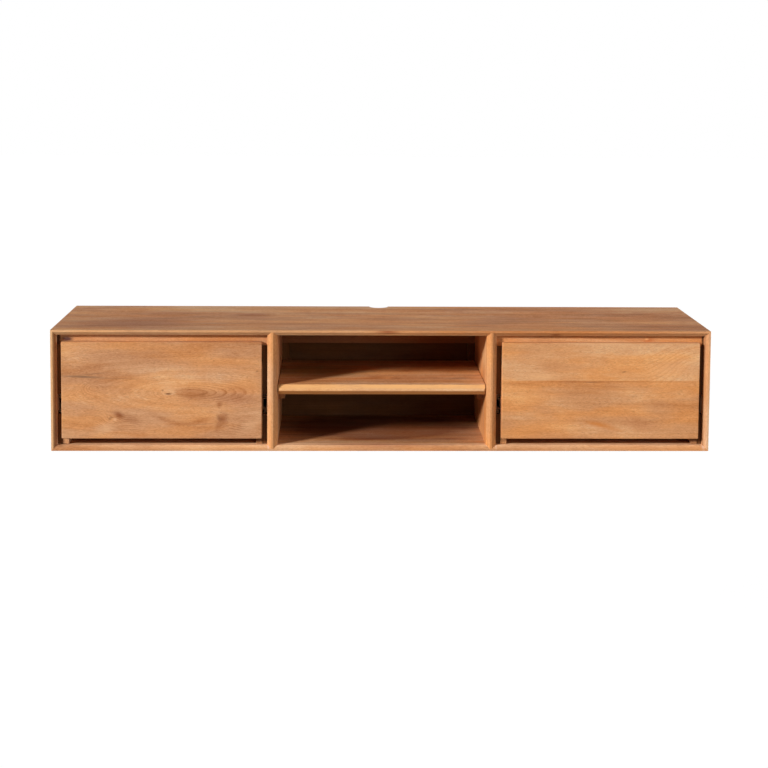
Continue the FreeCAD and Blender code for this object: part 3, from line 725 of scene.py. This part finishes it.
front_radius = 0.002
grey_streak = tint(128, 96, 72)
knot_brown = tint(96, 54, 36)
pale_flame = tint(228, 178, 134)
orange_stain = tint(196, 122, 62)
pink_shade = tint(238, 224, 222)
brown_shade = tint(222, 204, 190)
warm_shade = tint(255, 248, 234)
front_finish = {
    "left": dict(seed=61, pith=(-0.004, -0.3935), ring=0.0024, stretch=0.20, middle=-0.475, waver=0.009,
                 fine=0.7, ring_lines=0.40, tone=0.56,
                 clear=((-0.420, -0.006, 0.150, 0.050, 0.0, 0.18), (-0.722, 0.007, 0.040, 0.026, 0.0, 0.16),
                        (-0.660, -0.085, 0.080, 0.034, 0.0, 0.28), (-0.350, -0.095, 0.050, 0.034, 0.0, 0.28)),
                 rises=((-0.538, -0.004, 0.036, 0.030, 0.0, -0.010),
                        (-0.718, 0.007, 0.034, 0.022, 0.0, -0.014),
                        (-0.670, -0.074, 0.045, 0.030, 35.0, -0.014),
                        (-0.385, -0.075, 0.035, 0.045, 60.0, 0.012),
                        (-0.760, 0.085, 0.060, 0.022, 35.0, -0.012)),
                 marks=((-0.5300, 0.0060, 0.030, 0.022, 0.0, pale_flame, 0.35),
                        (-0.7400, 0.0345, 0.080, 0.0045, -2.0, grey_streak, 0.8),
                        (-0.7150, 0.0420, 0.060, 0.0022, 5.0, grey_streak, 0.4),
                        (-0.6500, 0.0300, 0.110, 0.0025, -1.0, grey_streak, 0.3),
                        (-0.5300, -0.0080, 0.012, 0.0030, 0.0, knot_brown, 0.95),
                        (-0.5440, 0.0010, 0.005, 0.0040, 0.0, knot_brown, 0.5),
                        (-0.6860, -0.0940, 0.044, 0.022, 15.0, pale_flame, 0.55),
                        (-0.6620, -0.0720, 0.008, 0.006, 0.0, pale_flame, 0.7),
                        (-0.6735, -0.0690, 0.010, 0.005, 40.0, knot_brown, 0.4),
                        (-0.4050, -0.0680, 0.014, 0.007, -60.0, knot_brown, 0.3),
                        (-0.4500, -0.0850, 0.060, 0.0022, 6.0, grey_streak, 0.3),
                        (-0.6000, -0.1130, 0.040, 0.007, 0.0, orange_stain, 0.45),
                        (-0.3320, -0.0920, 0.050, 0.024, 30.0, pale_flame, 0.35),
                        (-0.3105, 0.0490, 0.006, 0.004, 0.0, knot_brown, 0.4)),
                 shades=((-0.4720, -0.0060, 0.056, 0.024, 0.0, brown_shade, 1.1),
                         (-0.3600, -0.0150, 0.090, 0.040, 0.0, pink_shade, 0.6),
                         (-0.6530, -0.0610, 0.024, 0.015, -30.0, brown_patch, 0.65),
                         (-0.6250, -0.0710, 0.044, 0.015, -18.0, brown_patch, 0.34),
                         (-0.5450, -0.0700, 0.048, 0.010, -22.0, brown_shade, 0.8),
                         (-0.5000, -0.0840, 0.040, 0.009, 0.0, brown_shade, 0.8),
                         (-0.4530, -0.0770, 0.040, 0.010, 15.0, brown_shade, 0.8),
                         (-0.3960, -0.0720, 0.021, 0.030, -20.0, brown_patch, 0.55),
                         (-0.4080, -0.0900, 0.012, 0.020, -25.0, brown_patch, 0.32),
                         (-0.4040, -0.0350, 0.012, 0.012, 0.0, brown_patch, 0.45),
                         (-0.6000, 0.0900, 0.200, 0.040, 0.0, brown_shade, 0.35))),
    "right": dict(seed=71, pith=(0.10, -0.33), ring=0.0042, stretch=0.08, middle=0.80, waver=0.020,
                  seams=(0.0265,), tone=0.62, fine=0.6, ring_lines=0.35, contrast=0.95,
                  clear=((0.715, 0.066, 0.105, 0.050, 25.0, 0.14),),
                  rises=((0.810, 0.075, 0.180, 0.110, 0.0, 0.062),),
                  marks=((0.6040, 0.0490, 0.009, 0.0028, 12.0, knot_brown, 0.7),
                         (0.4000, 0.0370, 0.080, 0.018, 0.0, pale_flame, 0.45),
                         (0.7200, 0.0560, 0.090, 0.030, 12.0, pale_flame, 0.45),
                         (0.5440, -0.0845, 0.062, 0.012, -12.0, orange_stain, 0.7),
                         (0.5250, 0.0225, 0.032, 0.0016, 0.0, grey_streak, 0.6),
                         (0.5700, -0.0930, 0.080, 0.008, -16.0, orange_stain, 0.3)),
                  shades=((0.5500, 0.0000, 1.000, 0.900, 0.0, warm_shade, 1.2),
                          (0.5360, -0.0200, 0.110, 0.070, 0.0, brown_shade, 0.3),
                          (0.6400, -0.0800, 0.080, 0.030, -20.0, pink_shade, 0.4),
                          (0.3400, 0.0180, 0.080, 0.008, 0.0, brown_shade, 0.7),
                          (0.5500, 0.0240, 0.400, 0.003, 0.0, brown_shade, 0.7))),
}
for end in ("left", "right"):
    low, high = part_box(end + "_drawer_front")
    front = sawn_board(end + "_front_board", low, high)
    for seam in front_finish[end].get("seams", ()):
        bpy.ops.mesh.select_all(action="SELECT")
        bpy.ops.mesh.bisect(plane_co=(0.0, 0.0, seam), plane_no=(0.0, 0.0, 1.0))
    round_edges(front, front_radius, lambda a, b: min(a.y, b.y) < low.y + touch, segments=5)
    bpy.ops.object.mode_set(mode="OBJECT")
    bore_for(front, end + "_drawer_bottom", end + "_drawer_dowels")
    smooth(front)
    dress(front, wood(end + "_front_wood", "XZY", **front_finish[end]))
    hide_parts(end + "_drawer_front")
    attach(front, end + "_drawer")

# ---- Drawer boxes ----
# Sides and back of plain 15 mm boards round a thin plywood bottom in a groove, doweled to the front and
# screwed at the back.

box_tones = (
    (0.10, tint(170, 116, 76)),
    (0.40, tint(194, 142, 98)),
    (0.65, tint(208, 158, 114)),
    (0.90, tint(222, 178, 136)),
)
# Painted shade on the front ends of the box sides that show under each front, strongest where the front keeps
# the light off them.
painted_box_end_shade = tint(112, 70, 40)
box_end_shade_strength = {"left": {"left": 0.0, "right": 1.17}, "right": {"left": 0.65, "right": 0.91}}
for end, seed in (("left", 81), ("right", 85)):
    for place in ("left", "right"):
        dress(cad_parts[end + "_drawer_side_" + place],
              wood(end + "_box_wood_" + place, "YZX", seed=seed, pith=(-0.05, 0.0), tones=box_tones,
                   seams=(-0.03,),
                   marks=((-0.381, -0.127, 0.008, 0.016, 0.0, painted_box_end_shade, box_end_shade_strength[end][place]),)))
    dress(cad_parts[end + "_drawer_back"],
          wood(end + "_box_back_wood", "XZY", seed=seed + 1, pith=(-0.05, 0.03), tones=box_tones))
    dress(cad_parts[end + "_drawer_bottom"],
          wood(end + "_box_bottom_wood", "XYZ", seed=seed + 2, pith=(-0.2, -0.3), tones=box_tones,
               ring=0.007))

# ---- Ball-bearing runners ----
# Steel channels plated a dark bronze, with bearing balls in thin pressed cages, one runner on each side of a
# drawer.

dull_share = 0.72     # how bright the dull patches of the plating are


def metal(name, colour, roughness, streak, metallic=1.0):
    """Plated steel with cloudy plating and faint drawing lines along the runner, as strong as streak."""
    finish = bpy.data.materials.new(name)
    finish.use_nodes = True
    finish.node_tree.nodes.clear()
    start = Wire(finish.node_tree)
    split = start.node("ShaderNodeSeparateXYZ", (), {0: start.node("ShaderNodeTexCoord", output="Object")})
    across, along, height = (split.out(letter) for letter in "XYZ")
    lines = noise(start, along * 12.0, across * 1800.0, height * 1800.0, detail=2.0) - 0.5
    cloud = noise(start, along * 60.0, across * 60.0, height * 60.0, detail=3.0) - 0.5
    dull = tuple(part * dull_share for part in colour[:3]) + (1.0,)
    shade = blend(start, colour, dull, start.math("MAXIMUM", 0.4 + cloud * 1.4 + lines * streak, 0.0))
    bump = start.node("ShaderNodeBump", (), {"Strength": 0.15, "Distance": 0.0001, "Height": lines})
    plate = start.node("ShaderNodeBsdfPrincipled", (),
                       {"Base Color": shade, "Metallic": metallic, "Roughness": roughness + cloud * 0.2,
                        "Normal": bump})
    start.node("ShaderNodeOutputMaterial", (), {0: plate})
    return finish


bronze_plate = metal("bronze_plate", tint(168, 118, 74), 0.5, 0.8, metallic=0.25)
cage_plate = metal("cage_plate", tint(160, 118, 82), 0.5, 0.4, metallic=0.25)
ball_chrome = metal("ball_steel", tint(214, 216, 220), 0.12, 0.1)
screw_zinc = metal("screw_steel", tint(190, 188, 180), 0.36, 0.2)
for end in ("left", "right"):
    for channel in ("_case_channels", "_middle_channels", "_drawer_channels"):
        dress(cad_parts[end + channel], bronze_plate)
    for row in ("_outer", "_inner"):
        dress(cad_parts[end + row + "_cages"], cage_plate)
        dress(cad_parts[end + row + "_balls"], ball_chrome)

# ---- Fixings and soft buttons ----
# Beech dowels and plywood tongues inside the joints, countersunk screws, and pale rubber buttons behind the
# top corners of each front.

dowel_wood = wood("dowel_beech", "YZX", seed=91, pith=(0.0, 0.4), tones=box_tones, ring=0.002)
dress(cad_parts["case_dowels"], dowel_wood)
dress(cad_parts["mitre_splines"], wood("spline_ply", "YXZ", seed=92, pith=(0.0, 0.4), tones=box_tones))
dress(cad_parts["case_screws"], screw_zinc)
rubber = bpy.data.materials.new("button_rubber")
rubber.use_nodes = True
rubber.node_tree.nodes.clear()
gum = Wire(rubber.node_tree)
speck = gum.node("ShaderNodeTexNoise", (), {"Vector": gum.node("ShaderNodeTexCoord", output="Object"),
                                            "Scale": 900.0, "Detail": 2.0})
gum_tones = ((0.3, tint(172, 168, 158)), (0.7, tint(206, 202, 192)))
gum_colour = gum.node("ShaderNodeValToRGB", {"stops": gum_tones}, {0: speck})
gum_shell = gum.node("ShaderNodeBsdfPrincipled", (),
                     {"Base Color": gum_colour, "Roughness": 0.45 + speck * 0.2})
gum.node("ShaderNodeOutputMaterial", (), {0: gum_shell})
for end in ("left", "right"):
    dress(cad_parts[end + "_drawer_dowels"], dowel_wood)
    dress(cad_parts[end + "_drawer_screws"], screw_zinc)
    dress(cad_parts[end + "_drawer_bumpers"], rubber)
